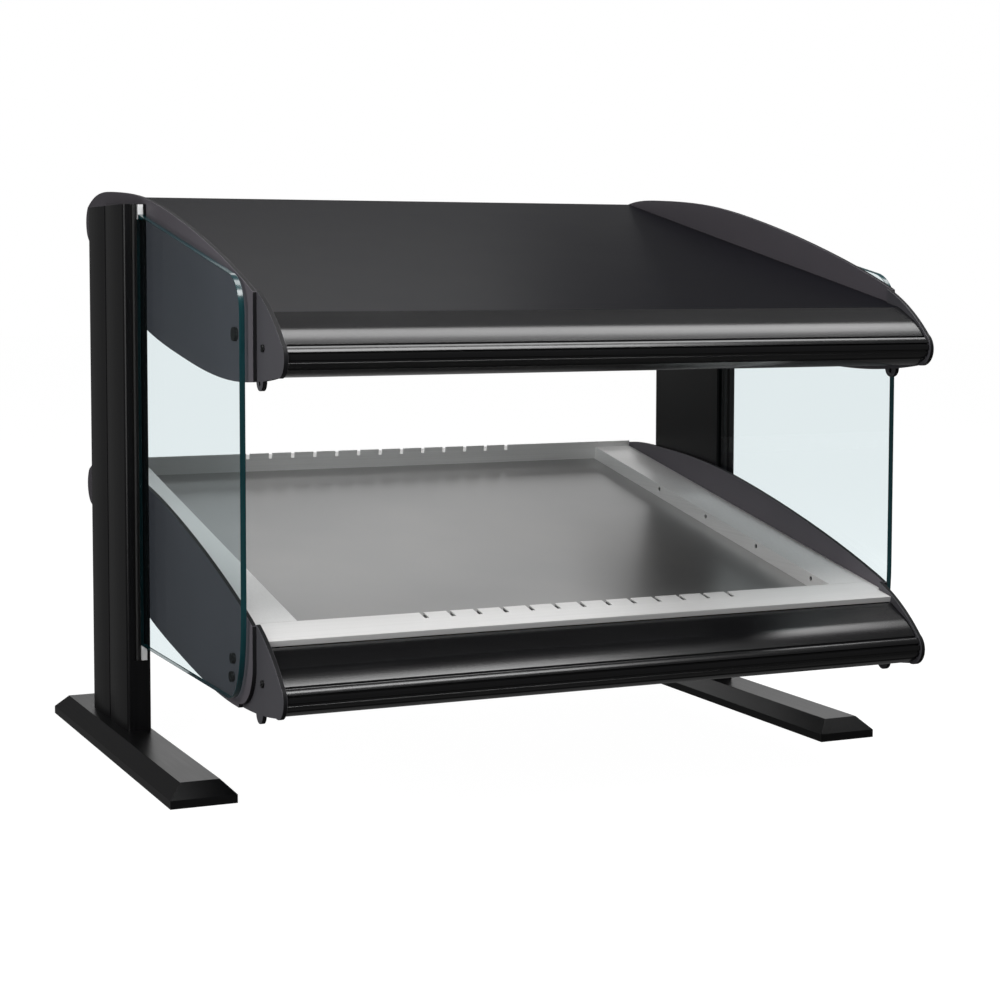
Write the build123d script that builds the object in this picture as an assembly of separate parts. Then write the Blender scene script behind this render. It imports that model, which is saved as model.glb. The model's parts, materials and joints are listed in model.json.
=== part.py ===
from build123d import *
from math import atan2, cos, hypot, radians, sin, tan
import os

# Heated display shelf on two posts: a sloping heated shelf under a sloping heated canopy.
# Millimetres. While it is drawn, Y = 0 is the line of the front divider notches, Z = 0 the
# counter and X = 0 the middle plane, with the front towards -Y. At the end all moves to centre.

# Overshoot of a cut past the face it opens, and of a cut that takes everything beyond a line
OVER = 1.0
PAST = 1000.0

# Side plates and end caps, in X from the middle plane
PLATE_OUTER = 314.0
PLATE_THICK = 4.0
CAP_THICK = 4.0
PLATE_INNER = PLATE_OUTER - PLATE_THICK
CAP_INNER = PLATE_INNER - CAP_THICK

# Leaf-shaped side profile of the canopy: crown and belly, joined by arcs at the nose and the tail
TAIL = (541.5, 512.0)
NOSE = (-86.6, 391.0)
CROWN = [
    (534.0, 529.5), (510.0, 537.8), (428.0, 542.0), (310.0, 532.0), (228.0, 517.0),
    (113.5, 489.0), (5.6, 455.5), (-35.7, 438.2), (-62.0, 421.0), (-79.3, 405.5),
]
BELLY = [
    (-68.0, 377.3), (-12.0, 371.3), (85.0, 372.6), (193.0, 386.0), (303.0, 406.0),
    (400.0, 436.0), (520.0, 492.0),
]

# The shelf has the canopy's leaf, nose and pan, set back and lower
LEVEL_BACK = 6.0
LEVEL_DROP = 276.0

# Front edge of the side plates, and the caps in front of it
PLATE_EDGE = -20.0
SHELF_CORNER_RADIUS = 38.0
SHELF_CORNER_FOOT = 374.0
CAP_REAR = 60.0
FIN_LAP = 2.0
FIN_END = PLATE_EDGE + FIN_LAP
EAR_Y = -25.3
EAR_RADIUS = 8.5
EAR_FOOT = 364.6
EAR_HOLE = 4.0
EAR_HOLE_UP = 6.0
EAR_THICK = 4.0
CAP_SCREW_Y = -36.0
CAP_SCREW_Z = 400.0
CAP_SCREW_DIAMETER = 3.6
CAP_SCREW_HOLE = 4.0
CAP_SCREW_HEAD = 6.4
CAP_SCREW_HEAD_HIGH = 1.8
CAP_SCREW_LONG = 14.0
CAP_SCREW_SLOT = 0.9
CAP_SCREW_SLOT_DEEP = 0.8

# Posts
POST_THICK = 24.5
POST_FRONT = 303.0
POST_DEEP = 135.0
POST_TOP = 526.0
POST_WALL = 3.0
POST_CORNER = 3.0
FLUTE_RISE = 1.6
FLUTE_GROOVE = 3.0
BOSS_DIAMETER = 16.0
BOSS_INSET = 30.0
POST_REAR = POST_FRONT + POST_DEEP
POST_MIDDLE = POST_FRONT + POST_DEEP / 2
POST_OUTER = PLATE_OUTER + POST_THICK
POST_CENTRE = PLATE_OUTER + POST_THICK / 2
POST_BOSSES = [POST_FRONT + BOSS_INSET, POST_REAR - BOSS_INSET]

# Feet
FOOT_PROUD = 22.0
FOOT_WIDE = 60.7
FOOT_FRONT = 72.3
FOOT_LONG = 439.5
FOOT_HIGH = 20.0
FOOT_BEVEL = 12.4
FOOT_OUTER = POST_OUTER + FOOT_PROUD

# Bolts
BOLT_DIAMETER = 8.0
BOLT_HEAD = 13.0
BOLT_HEAD_HIGH = 5.0
BOLT_SOCKET = 3.4
BOLT_SOCKET_DEEP = 3.0
HOLE_CLEAR = 0.4
BOLT_HOLE = BOLT_DIAMETER + HOLE_CLEAR
FOOT_BOLT_SUNK = 1.0
FOOT_BOLT_REACH = 30.0
SIDE_BOLT_LONG = 10.0
SIDE_NUT_RADIUS = 7.0
SIDE_NUT_HIGH = 5.0
SIDE_BOLT_HEIGHT = 456.0
SIDE_BOLT_STEP = 16.0
SIDE_BOLT_RISE = 8.0

# Glazing groove in the front face of each post
GLASS_THICK = 5.0
GLASS_STANDOFF = 3.0
GROOVE_CLEAR = 0.4
GROOVE_WIDE = 13.0
GROOVE_DEEP = 14.0
GROOVE_BOTTOM = 88.0
GLASS_INNER = PLATE_OUTER + GLASS_STANDOFF
GLASS_OUTER = GLASS_INNER + GLASS_THICK
GROOVE_INNER = GLASS_INNER - GROOVE_CLEAR
GROOVE_OUTER = GROOVE_INNER + GROOVE_WIDE

# Glass, its stops, its strips and its bumpers
GLASS_FRONT = -9.6
GLASS_BOTTOM = 102.0
GLASS_SHOULDER_Y = 28.4
GLASS_SHOULDER_Z = 463.0
GLASS_TOP_CORNER = 34.0
GLASS_INTO_GROOVE = 12.0
GLASS_STEP_TOP = 511.5
GLASS_LOW_CORNER = 84.0
STRIP_CLEAR = 0.2
STRIP_INSET = 4.0
STRIP_LIP = 3.4
STRIP_LIP_INSET = 2.5
CANOPY_BUMPERS = [(24.2, 410.0)]
CANOPY_BUMPER_DIAMETER = 12.0
SHELF_BUMPERS = [(34.9, 135.0), (37.9, 118.7)]
SHELF_BUMPER_DIAMETER = 9.0

# Sheet metal
SHEET = 1.5
PANEL_FLANGE = 12.0
COVER_FLANGE = 10.0
FLANGE_GAP = 2.0
COVER_GAP = 6.0
SEAT_GAP = 0.1

# Rear faces of the two levels
CANOPY_REAR = 496.5
SHELF_REAR = 512.0
CANOPY_FACE = CANOPY_REAR + SHEET
SHELF_FACE = SHELF_REAR + SHEET

# Roof panel of the canopy: from the crease behind the nose to the rear edge
CREASE = (-38.0, 429.5)
ROOF_REAR_HIGH = 539.6
ROOF_TILT = atan2(ROOF_REAR_HIGH - CREASE[1], CANOPY_FACE - CREASE[0])
ROOF_LONG = hypot(ROOF_REAR_HIGH - CREASE[1], CANOPY_FACE - CREASE[0])

# Nose extrusion: facet, brow, ribbed front and lip, then the back wall
NOSE_WALL = 5.0
NOSE_BACK = -31.0
NOSE_BACK_SHEET = 3.0
NOSE_SHOULDER = (-61.0, 418.0)
NOSE_FOREHEAD = (-70.2, 411.4)
NOSE_BROW = (-77.6, 404.0)
NOSE_TIP = (-84.9, 392.4)
NOSE_CHIN = (-80.4, 384.8)
NOSE_JAW = (-72.0, 379.8)
NOSE_LIP = (-62.0, 377.2)
NOSE_LIP_HIGH = 375.8
NOSE_GROOVES = [(-78.6, 403.4), (-83.0, 397.0), (-84.9, 390.4), (-80.2, 384.6)]
NOSE_GROOVE = 3.2
SCREW_PORT = 9.0

# Bottom pan of both levels
PAN_THICK = 1.2
PAN_LOW = 376.5
PAN_BEND_Y = 85.0
PAN_KNEE_Y = 300.0
PAN_KNEE_Z = 411.0
PAN_REAR_TILT = radians(21.3)
HEAT_TILT = atan2(PAN_KNEE_Z - PAN_LOW, PAN_KNEE_Y - PAN_BEND_Y)

# Canopy heater
HEATER_END_GAP = 44.0
HEATER_HALF = CAP_INNER - HEATER_END_GAP
HEATER_OPENING = 104.0
REFLECTOR_TOP = 52.0
REFLECTOR_HIGH = 44.0
REFLECTOR_THICK = 0.8
REFLECTOR_FLANGE = 10.0
ELEMENT_DIAMETER = 8.5
ELEMENT_HEIGHT = 22.0
ELEMENT_STUB = 16.0
ELEMENT_CLEAR = 0.2
INSULATOR_DIAMETER = 15.0
INSULATOR_LONG = 12.0
INSULATOR_NECK = 11.6
INSULATOR_NECK_LONG = 3.0
INSULATOR_HOLE = 12.0
GUARD_WIRE = 3.0
GUARD_INSET = 2.0
GUARD_END_GAP = 4.0
GUARD_BAR = 2.6
GUARD_BAR_DROP = 1.2
GUARD_BARS = 9
GUARD_BAR_MARGIN = 20.0

# Display light
LIGHT_SHORTER = 27.0
LIGHT_HALF = HEATER_HALF - LIGHT_SHORTER
LIGHT_FRONT = 8.0
LIGHT_WIDE = 40.0
LIGHT_HIGH = 14.0
LIGHT_FLANGE = 6.0
LENS_THICK = 2.0
LENS_CLEAR = 0.2
BOARD_INSET = 8.0
BOARD_WIDE = 16.0
BOARD_THICK = 1.6
LAMP_COUNT = 12
LAMP_SIZE = 5.0
LAMP_HIGH = 1.4
LAMP_MARGIN = 20.0

# Heated deck of the shelf
DECK_TILT = radians(11.0)
DECK_HEIGHT = 165.2
RAIL_FRONT = -32.4
RAIL_INNER = 11.0
SIDE_RAIL_WIDE = 44.0
SIDE_RAIL_INNER = PLATE_INNER - SIDE_RAIL_WIDE
RAIL_JOINT = 0.3
RAIL_DROP = 14.0
RAIL_LIP = 5.0
REAR_RAIL_RISE = 6.0
REAR_LEDGE = 18.0
DECK_REAR = SHELF_REAR / cos(DECK_TILT) - REAR_LEDGE

# Divider notches
NOTCH_PITCH = 25.4
NOTCH_COUNT = 13
NOTCH_WIDE = 4.0
NOTCH_LONG = 14.0
NOTCH_DEEP = 6.0

# Holes in the walls of the side rails
RAIL_HOLE_PITCH = 101.6
RAIL_HOLE_COUNT = 4
RAIL_HOLE_FIRST = 43.0
RAIL_HOLE_DOWN = 5.0
RAIL_HOLE_DIAMETER = 4.5

# Heated plate, its heating blanket, its insulation and the angles that carry them
HEAT_PLATE_THICK = 3.0
HEAT_PLATE_SIDE_GAP = 25.0
HEAT_PLATE_LAP = 4.0
BRACKET_HIGH = 20.0
BRACKET_WIDE = 34.0
BRACKET_END_GAP = 5.0
BLANKET_THICK = 1.2
BLANKET_SIDE_INSET = 18.0
BLANKET_END_INSET = 5.0
INSULATION_THICK = 18.0
INSULATION_SIDE_GAP = 8.0
INSULATION_FRONT_GAP = 4.0
INSULATION_REAR_GAP = 58.5
HEAT_PLATE_HALF = PLATE_INNER - HEAT_PLATE_SIDE_GAP
INSULATION_HALF = PLATE_INNER - BRACKET_WIDE - INSULATION_SIDE_GAP
INSULATION_FRONT = RAIL_INNER + INSULATION_FRONT_GAP
INSULATION_REAR = DECK_REAR - INSULATION_REAR_GAP
SENSOR_DIAMETER = 6.0
SENSOR_LONG = 80.0
SENSOR_OFF_MIDDLE = 30.0
SENSOR_BEHIND = 17.0
STRAP_WIDE = 10.0
STRAP_THICK = 1.2
STRAP_EAR = 4.0
STRAP_INSET = 10.0

# Controls in the rear cover of the shelf, side by side from the left end
CONTROL_HEIGHT = 230.5
SWITCH_MARGIN = 32.0
SWITCH_PITCH = 28.0
KNOB_PITCH = 50.0
LIGHT_SWITCH_X = SWITCH_MARGIN - PLATE_INNER
POWER_SWITCH_X = LIGHT_SWITCH_X + SWITCH_PITCH
CANOPY_KNOB_X = POWER_SWITCH_X + KNOB_PITCH
SHELF_KNOB_X = CANOPY_KNOB_X + KNOB_PITCH

# Heat regulators, with their shafts and knobs
REGULATOR_WIDE = 30.0
REGULATOR_HIGH = 24.0
REGULATOR_LONG = 20.0
REGULATOR_TAB_OUT = 9.0
REGULATOR_BORE_DEEP = 12.0
TAB_WIDE = 6.0
TAB_LONG = 8.0
TAB_THICK = 0.8
BUSHING_DIAMETER = 10.0
BUSHING_PROUD = 5.0
SHAFT_DIAMETER = 6.0
SHAFT_CLEAR = 0.2
SHAFT_PROUD = 15.0
SHAFT_FLAT = 1.5
SHAFT_FLAT_START = 7.0
KNOB_DIAMETER = 27.0
KNOB_GRIP = 21.0
KNOB_SKIRT = 3.0
KNOB_LONG = 14.0
KNOB_GAP = 0.5
KNOB_FLUTES = 12
KNOB_FLUTE = 3.0
KNOB_FLUTE_OUT = 0.6
KNOB_POINTER = 1.6
KNOB_POINTER_HIGH = 0.8

# Rocker switches
ROCKER_RADIUS = 8.6
ROCKER_WIDE = 11.0
ROCKER_PROUD = 2.6
ROCKER_BACK = 5.0
ROCKER_THROW = 16.0
ROCKER_CLEAR = 0.4
ROCKER_PIN = 2.4
ROCKER_PIN_END = 0.8
ROCKER_PIN_CLEAR = 0.2
SWITCH_WALL = 2.0
SWITCH_FIT = 0.2
SWITCH_BEZEL = 1.4
SWITCH_LIP = 1.2
SWITCH_DEEP = 18.0
SWITCH_TABS = [-5.0, 0.0, 5.0]
PIVOT_PROUD = 0.2

# Power inlet gland and terminal block
GLAND_MARGIN = 75.0
GLAND_X = PLATE_INNER - GLAND_MARGIN
GLAND_BORE = 9.0
GLAND_SHANK = 15.6
GLAND_FLANGE = 22.0
GLAND_FLANGE_LONG = 5.0
GLAND_DOME = 17.0
GLAND_PROUD = 15.0
GLAND_INSIDE = 10.0
GLAND_NUT_RADIUS = 11.5
GLAND_NUT_LONG = 5.0
TERMINALS = 5
TERMINAL_PITCH = 11.0
TERMINAL_WIDE = 22.0
TERMINAL_BASE = 6.0
TERMINAL_HIGH = 13.0
TERMINAL_WALL = 1.5
TERMINAL_SCREW = 5.0
TERMINAL_SCREW_INSET = 6.0
TERMINAL_UP_SLOPE = 180.0
TERMINAL_FROM_GLAND = 75.0

DECK = Plane(origin=(0, 0, DECK_HEIGHT), x_dir=(1, 0, 0), z_dir=(0, -sin(DECK_TILT), cos(DECK_TILT)))
ROOF = Plane(
    origin=(0, CREASE[0], CREASE[1]), x_dir=(1, 0, 0), z_dir=(0, -sin(ROOF_TILT), cos(ROOF_TILT))
)
HEAT_BED = Plane(
    origin=(0, (PAN_BEND_Y + PAN_KNEE_Y) / 2, (PAN_LOW + PAN_KNEE_Z) / 2),
    x_dir=(1, 0, 0),
    z_dir=(0, -sin(HEAT_TILT), cos(HEAT_TILT)),
)
PAN_SLOPE = Plane(
    origin=(0, PAN_KNEE_Y, PAN_KNEE_Z),
    x_dir=(1, 0, 0),
    z_dir=(0, -sin(PAN_REAR_TILT), cos(PAN_REAR_TILT)),
)
TO_SHELF = Pos(0, LEVEL_BACK, -LEVEL_DROP)

parts = {}


def block(x0, x1, y0, y1, z0, z1):
    """A box between two corners."""
    middle = Pos((x0 + x1) / 2, (y0 + y1) / 2, (z0 + z1) / 2)
    return middle * Box(abs(x1 - x0), abs(y1 - y0), abs(z1 - z0))


def slab(face, x0, x1):
    """A profile drawn in (Y, Z), as thick as x0 to x1."""
    return Pos(x0, 0, 0) * extrude(Plane.YZ * face, amount=x1 - x0, dir=(1, 0, 0))


def bent_sheet(points, thick, x0, x1, side):
    """Sheet metal folded along a line of (Y, Z) points."""
    return slab(make_face(offset(Polyline(*points), amount=thick, side=side)), x0, x1)


def rod_x(diameter, x0, x1, y, z):
    centre = Pos((x0 + x1) / 2, y, z)
    return centre * Rot(0, 90, 0) * Cylinder(diameter / 2, abs(x1 - x0))


def rod_y(diameter, x, y0, y1, z):
    centre = Pos(x, (y0 + y1) / 2, z)
    return centre * Rot(90, 0, 0) * Cylinder(diameter / 2, abs(y1 - y0))


def rod_z(diameter, x, y, z0, z1):
    return Pos(x, y, (z0 + z1) / 2) * Cylinder(diameter / 2, z1 - z0)


def even_steps(half, count):
    """Positions spread evenly from -half to half."""
    return [-half + 2 * half * i / (count - 1) for i in range(count)]


def pair(name, shape):
    """The right-hand piece and its mirror on the left."""
    parts["right_" + name] = shape
    parts["left_" + name] = mirror(shape, about=Plane.YZ)


def both_sides(shape):
    return [shape, mirror(shape, about=Plane.YZ)]


def group(name, shapes):
    """One node that holds several alike pieces."""
    found = []
    for shape in shapes:
        found.extend(shape.solids())
    parts[name] = Compound(children=found)


# Feet and posts

def make_foot():
    inner = FOOT_OUTER - FOOT_WIDE
    foot = block(inner, FOOT_OUTER, FOOT_FRONT, FOOT_FRONT + FOOT_LONG, 0, FOOT_HIGH)
    foot = chamfer(foot.faces().sort_by(Axis.Z)[-1].edges(), FOOT_BEVEL)
    recess = FOOT_BOLT_SUNK + BOLT_HEAD_HIGH
    for y in POST_BOSSES:
        foot -= rod_z(BOLT_HOLE, POST_CENTRE, y, -OVER, FOOT_HIGH + OVER)
        foot -= rod_z(BOLT_HEAD + HOLE_CLEAR, POST_CENTRE, y, -OVER, recess)
    return foot


def post_section():
    """Closed outline in (X, Y): flat inside, two crowned flutes outside."""
    half = FLUTE_GROOVE / 2
    shoulder = POST_OUTER - FLUTE_RISE
    groove_floor = shoulder - FLUTE_RISE
    front_corner = POST_FRONT + POST_CORNER
    rear_corner = POST_REAR - POST_CORNER
    front_crown = (POST_OUTER, (front_corner + POST_MIDDLE - half) / 2)
    rear_crown = (POST_OUTER, (rear_corner + POST_MIDDLE + half) / 2)
    turned = (shoulder - POST_CORNER, POST_FRONT)
    return make_face([
        Line((PLATE_OUTER, POST_REAR), (PLATE_OUTER, POST_FRONT)),
        Line((PLATE_OUTER, POST_FRONT), turned),
        RadiusArc(turned, (shoulder, front_corner), -POST_CORNER),
        ThreePointArc((shoulder, front_corner), front_crown, (shoulder, POST_MIDDLE - half)),
        Line((shoulder, POST_MIDDLE - half), (groove_floor, POST_MIDDLE - half)),
        Line((groove_floor, POST_MIDDLE - half), (groove_floor, POST_MIDDLE + half)),
        Line((groove_floor, POST_MIDDLE + half), (shoulder, POST_MIDDLE + half)),
        ThreePointArc((shoulder, POST_MIDDLE + half), rear_crown, (shoulder, rear_corner)),
        RadiusArc((shoulder, rear_corner), (shoulder - POST_CORNER, POST_REAR), -POST_CORNER),
        Line((shoulder - POST_CORNER, POST_REAR), (PLATE_OUTER, POST_REAR)),
    ])


def make_post():
    """Extruded post: a chamber with two screw ports, and the glazing groove in its front."""
    post = Pos(0, 0, FOOT_HIGH) * extrude(post_section(), amount=POST_TOP - FOOT_HIGH)
    inner = PLATE_OUTER + POST_WALL
    chamber = block(
        inner, POST_OUTER - 2 * FLUTE_RISE - POST_WALL,
        POST_FRONT + GROOVE_DEEP + POST_WALL, POST_REAR - POST_WALL,
        FOOT_HIGH, POST_TOP - POST_WALL,
    )
    for y in POST_BOSSES:
        chamber -= rod_z(BOSS_DIAMETER, POST_CENTRE, y, FOOT_HIGH, POST_TOP)
    post -= chamber
    for y in POST_BOSSES:
        post -= rod_z(BOLT_HOLE, POST_CENTRE, y, FOOT_HIGH - OVER, FOOT_HIGH + FOOT_BOLT_REACH)
    post -= block(
        GROOVE_INNER, GROOVE_OUTER, POST_FRONT - OVER, POST_FRONT + GROOVE_DEEP,
        GROOVE_BOTTOM, POST_TOP + OVER,
    )
    for y, z in canopy_bolt_spots() + shelf_bolt_spots():
        post -= rod_x(BOLT_HOLE, PLATE_OUTER - OVER, inner + OVER, y, z)
    return post


def canopy_bolt_spots():
    """Where the canopy's side plates are bolted to the posts, between the posts' screw ports."""
    spots = []
    for i in (-1, 0, 1):
        spots.append((POST_MIDDLE + i * SIDE_BOLT_STEP, SIDE_BOLT_HEIGHT + i * SIDE_BOLT_RISE))
    return spots


def shelf_bolt_spots():
    return [(y + LEVEL_BACK, z - LEVEL_DROP) for y, z in canopy_bolt_spots()]


def make_foot_screws():
    screws = []
    top = FOOT_BOLT_SUNK + BOLT_HEAD_HIGH
    tip = FOOT_HIGH + FOOT_BOLT_REACH - OVER
    for y in POST_BOSSES:
        screw = rod_z(BOLT_HEAD, POST_CENTRE, y, FOOT_BOLT_SUNK, top)
        screw += rod_z(BOLT_DIAMETER, POST_CENTRE, y, top - OVER, tip)
        socket = extrude(RegularPolygon(BOLT_SOCKET, 6), amount=BOLT_SOCKET_DEEP)
        screw -= Pos(POST_CENTRE, y, FOOT_BOLT_SUNK) * socket
        screws.extend(both_sides(screw))
    return screws


def make_side_bolts(spots):
    """Bolts from inside a side plate into nuts in the post's chamber."""
    bolts = []
    head = PLATE_INNER - BOLT_HEAD_HIGH
    for y, z in spots:
        bolt = rod_x(BOLT_HEAD, head, PLATE_INNER, y, z)
        bolt += rod_x(BOLT_DIAMETER, PLATE_INNER - OVER, PLATE_OUTER + SIDE_BOLT_LONG, y, z)
        socket_face = Plane(origin=(head, y, z), z_dir=(1, 0, 0))
        bolt -= extrude(socket_face * RegularPolygon(BOLT_SOCKET, 6), amount=BOLT_SOCKET_DEEP)
        nut_face = Plane(origin=(PLATE_OUTER + POST_WALL, y, z), z_dir=(1, 0, 0))
        nut = extrude(nut_face * RegularPolygon(SIDE_NUT_RADIUS, 6), amount=SIDE_NUT_HIGH)
        nut -= rod_x(BOLT_DIAMETER, PLATE_OUTER, POST_OUTER, y, z)
        bolts.extend(both_sides(bolt) + both_sides(nut))
    return bolts


# Glass sides

def glass_top(y):
    return GLASS_SHOULDER_Z + (y - GLASS_SHOULDER_Y) * tan(DECK_TILT)


def make_glass():
    """Pane with a raised tongue in the post's groove and a swept lower front corner."""
    rear = POST_FRONT + GLASS_INTO_GROOVE
    front_top = (GLASS_FRONT, glass_top(GLASS_FRONT))
    front_low = (GLASS_FRONT, GLASS_BOTTOM + GLASS_LOW_CORNER)
    rear_low = (GLASS_FRONT + GLASS_LOW_CORNER / 2, GLASS_BOTTOM)
    face = make_face([
        Line(rear_low, (rear, GLASS_BOTTOM)),
        Line((rear, GLASS_BOTTOM), (rear, GLASS_STEP_TOP)),
        Line((rear, GLASS_STEP_TOP), (POST_FRONT, GLASS_STEP_TOP)),
        Line((POST_FRONT, GLASS_STEP_TOP), (POST_FRONT, glass_top(POST_FRONT))),
        Line((POST_FRONT, glass_top(POST_FRONT)), front_top),
        Line(front_top, front_low),
        Bezier(front_low, (GLASS_FRONT, GLASS_BOTTOM), rear_low),
    ])
    corner = face.vertices().sort_by_distance((front_top[0], front_top[1], 0))[0]
    return slab(fillet(corner, GLASS_TOP_CORNER), GLASS_INNER, GLASS_OUTER)


def make_glazing_strip():
    """Black strip that fills the groove outside the glass, with a rounded lip."""
    inner = GLASS_OUTER + STRIP_CLEAR
    outer = GROOVE_OUTER - STRIP_CLEAR
    rear = POST_FRONT + GROOVE_DEEP - STRIP_CLEAR
    low = GROOVE_BOTTOM + STRIP_CLEAR
    strip = block(inner, outer, POST_FRONT + STRIP_INSET, rear, low, POST_TOP)
    lip = rod_z(STRIP_LIP, (inner + outer) / 2, POST_FRONT + STRIP_LIP_INSET, low, POST_TOP)
    return strip + lip


def make_stop(low, high):
    """Clear stop that fills the groove above or below the glass."""
    front = POST_FRONT + STRIP_CLEAR
    rear = POST_FRONT + GROOVE_DEEP - STRIP_CLEAR
    return block(GLASS_INNER, GLASS_OUTER, front, rear, low + STRIP_CLEAR, high - STRIP_CLEAR)


def make_bumpers(spots, diameter):
    """Round pads between the side plates and the glass."""
    found = []
    for y, z in spots:
        found.extend(both_sides(rod_x(diameter, PLATE_OUTER, GLASS_INNER, y, z)))
    return found


# Side plates, end caps and noses

def leaf_face():
    nose = ThreePointArc(CROWN[-1], NOSE, BELLY[0])
    tail = ThreePointArc(BELLY[-1], TAIL, CROWN[0])
    return make_face([Spline(*CROWN), nose, Spline(*BELLY), tail])


def make_side_plate():
    plate = slab(leaf_face(), PLATE_INNER, PLATE_OUTER)
    for y, z in canopy_bolt_spots():
        plate -= rod_x(BOLT_HOLE, PLATE_INNER - OVER, PLATE_OUTER + OVER, y, z)
    return plate & block(PLATE_INNER, PLATE_OUTER, PLATE_EDGE, PAST, -PAST, PAST)


def round_front_corner(plate):
    """Takes the lower front corner off the shelf's side plate, as a quarter circle."""
    inner = PLATE_INNER - OVER
    outer = PLATE_OUTER + OVER
    y = PLATE_EDGE + SHELF_CORNER_RADIUS
    z = SHELF_CORNER_FOOT + SHELF_CORNER_RADIUS
    waste = block(inner, outer, PLATE_EDGE - OVER, y, SHELF_CORNER_FOOT - SHELF_CORNER_RADIUS, z)
    waste -= rod_x(2 * SHELF_CORNER_RADIUS, inner, outer, y, z)
    return plate - waste


def make_end_cap(top_surface):
    """Nose cap: the front of the leaf. Behind the side plate's edge it stays below the top sheet."""
    cap = slab(leaf_face(), CAP_INNER, PLATE_INNER)
    cap &= block(CAP_INNER, PLATE_INNER, -PAST, CAP_REAR, -PAST, PAST)
    cap -= top_surface & block(0, PAST, FIN_END, PAST, -PAST, PAST)
    cap -= rod_x(CAP_SCREW_HOLE, CAP_INNER - OVER, PLATE_INNER + OVER, CAP_SCREW_Y, CAP_SCREW_Z)
    ear_centre = EAR_FOOT + EAR_RADIUS
    return cap + rod_x(2 * EAR_RADIUS, PLATE_INNER - EAR_THICK, PLATE_INNER, EAR_Y, ear_centre)


def make_ear_hole():
    """Hole in the canopy cap's ear. The shelf cap's ear has none."""
    return rod_x(EAR_HOLE, CAP_INNER - OVER, PLATE_INNER + OVER, EAR_Y, EAR_FOOT + EAR_HOLE_UP)


def make_cap_screws():
    screws = []
    face = PLATE_INNER + CAP_SCREW_HEAD_HIGH
    spot = (CAP_SCREW_Y, CAP_SCREW_Z)
    screw = rod_x(CAP_SCREW_HEAD, PLATE_INNER, face, *spot)
    screw += rod_x(CAP_SCREW_DIAMETER, PLATE_INNER - CAP_SCREW_LONG, PLATE_INNER + OVER, *spot)
    slot = Box(2 * CAP_SCREW_SLOT_DEEP, CAP_SCREW_HEAD + OVER, CAP_SCREW_SLOT)
    screw -= Pos(face, *spot) * slot
    for level in (Pos(0, 0, 0), TO_SHELF):
        screws.extend(both_sides(level * screw))
    return screws


def nose_outline():
    back_top = (NOSE_BACK, CREASE[1] - NOSE_BACK_SHEET)
    under_crease = (CREASE[0], CREASE[1] - NOSE_BACK_SHEET)
    return make_face([
        Line(CREASE, NOSE_SHOULDER),
        ThreePointArc(NOSE_SHOULDER, NOSE_FOREHEAD, NOSE_BROW),
        ThreePointArc(NOSE_BROW, NOSE_TIP, NOSE_CHIN),
        ThreePointArc(NOSE_CHIN, NOSE_JAW, NOSE_LIP),
        Line(NOSE_LIP, (NOSE_BACK, NOSE_LIP_HIGH)),
        Line((NOSE_BACK, NOSE_LIP_HIGH), back_top),
        Line(back_top, under_crease),
        Line(under_crease, CREASE),
    ])


def make_nose():
    """Hollow nose extrusion with a screw port and grooves that leave ribs along its front."""
    outline = nose_outline()
    nose = slab(outline, -CAP_INNER, CAP_INNER)
    nose -= slab(offset(outline, amount=-NOSE_WALL), -CAP_INNER, CAP_INNER)
    nose += rod_x(SCREW_PORT, -CAP_INNER, CAP_INNER, CAP_SCREW_Y, CAP_SCREW_Z)
    nose -= rod_x(CAP_SCREW_HOLE, -CAP_INNER - OVER, CAP_INNER + OVER, CAP_SCREW_Y, CAP_SCREW_Z)
    for y, z in NOSE_GROOVES:
        nose -= rod_x(NOSE_GROOVE, -CAP_INNER, CAP_INNER, y, z)
    return nose


# Canopy

def cap_room(rear):
    """What a top sheet leaves free for the end caps, out to their fins' rear ends."""
    return [
        block(CAP_INNER, PLATE_INNER + OVER, -PAST, rear, -PAST, PAST),
        block(-PLATE_INNER - OVER, -CAP_INNER, -PAST, rear, -PAST, PAST),
    ]


def make_roof_panel():
    """Folded roof sheet with a turned-down flange along each side, notched round the end caps."""
    panel = block(-PLATE_INNER, PLATE_INNER, 0, ROOF_LONG, -SHEET, 0)
    panel -= cap_room((FIN_END - CREASE[0]) / cos(ROOF_TILT))
    start = (CAP_REAR - CREASE[0]) / cos(ROOF_TILT) + FLANGE_GAP
    end = ROOF_LONG - COVER_FLANGE - COVER_GAP
    for x0 in (-PLATE_INNER, PLATE_INNER - SHEET):
        panel += block(x0, x0 + SHEET, start, end, -PANEL_FLANGE, 0)
    return ROOF.location * panel


def roof_underside(y):
    return CREASE[1] + (y - CREASE[0]) * tan(ROOF_TILT) - SHEET / cos(ROOF_TILT)


def deck_underside(y):
    return DECK_HEIGHT + y * tan(DECK_TILT) - SHEET / cos(DECK_TILT)


def pan_underside(y):
    """Underside of the canopy's pan behind its knee."""
    return PAN_KNEE_Z + (y - PAN_KNEE_Y) * tan(PAN_REAR_TILT)


def make_pan(rear):
    """Bottom sheet of a level, folded at its bend and its knee, and cut back from the end caps."""
    points = [(NOSE_BACK, PAN_LOW), (PAN_BEND_Y, PAN_LOW), (PAN_KNEE_Y, PAN_KNEE_Z)]
    points.append((rear, pan_underside(rear)))
    pan = bent_sheet(points, PAN_THICK, -PLATE_INNER, PLATE_INNER, Side.LEFT)
    return pan - cap_room(CAP_REAR)


def pan_windows():
    """Windows for the heater and the light in the canopy's pan."""
    half = HEATER_OPENING / 2
    heat = block(-HEATER_HALF, HEATER_HALF, -half, half, -OVER, PAN_THICK + OVER)
    light = block(
        -LIGHT_HALF, LIGHT_HALF, LIGHT_FRONT, LIGHT_FRONT + LIGHT_WIDE,
        PAN_LOW - OVER, PAN_LOW + PAN_THICK + OVER,
    )
    return [HEAT_BED.location * heat, light]


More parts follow.
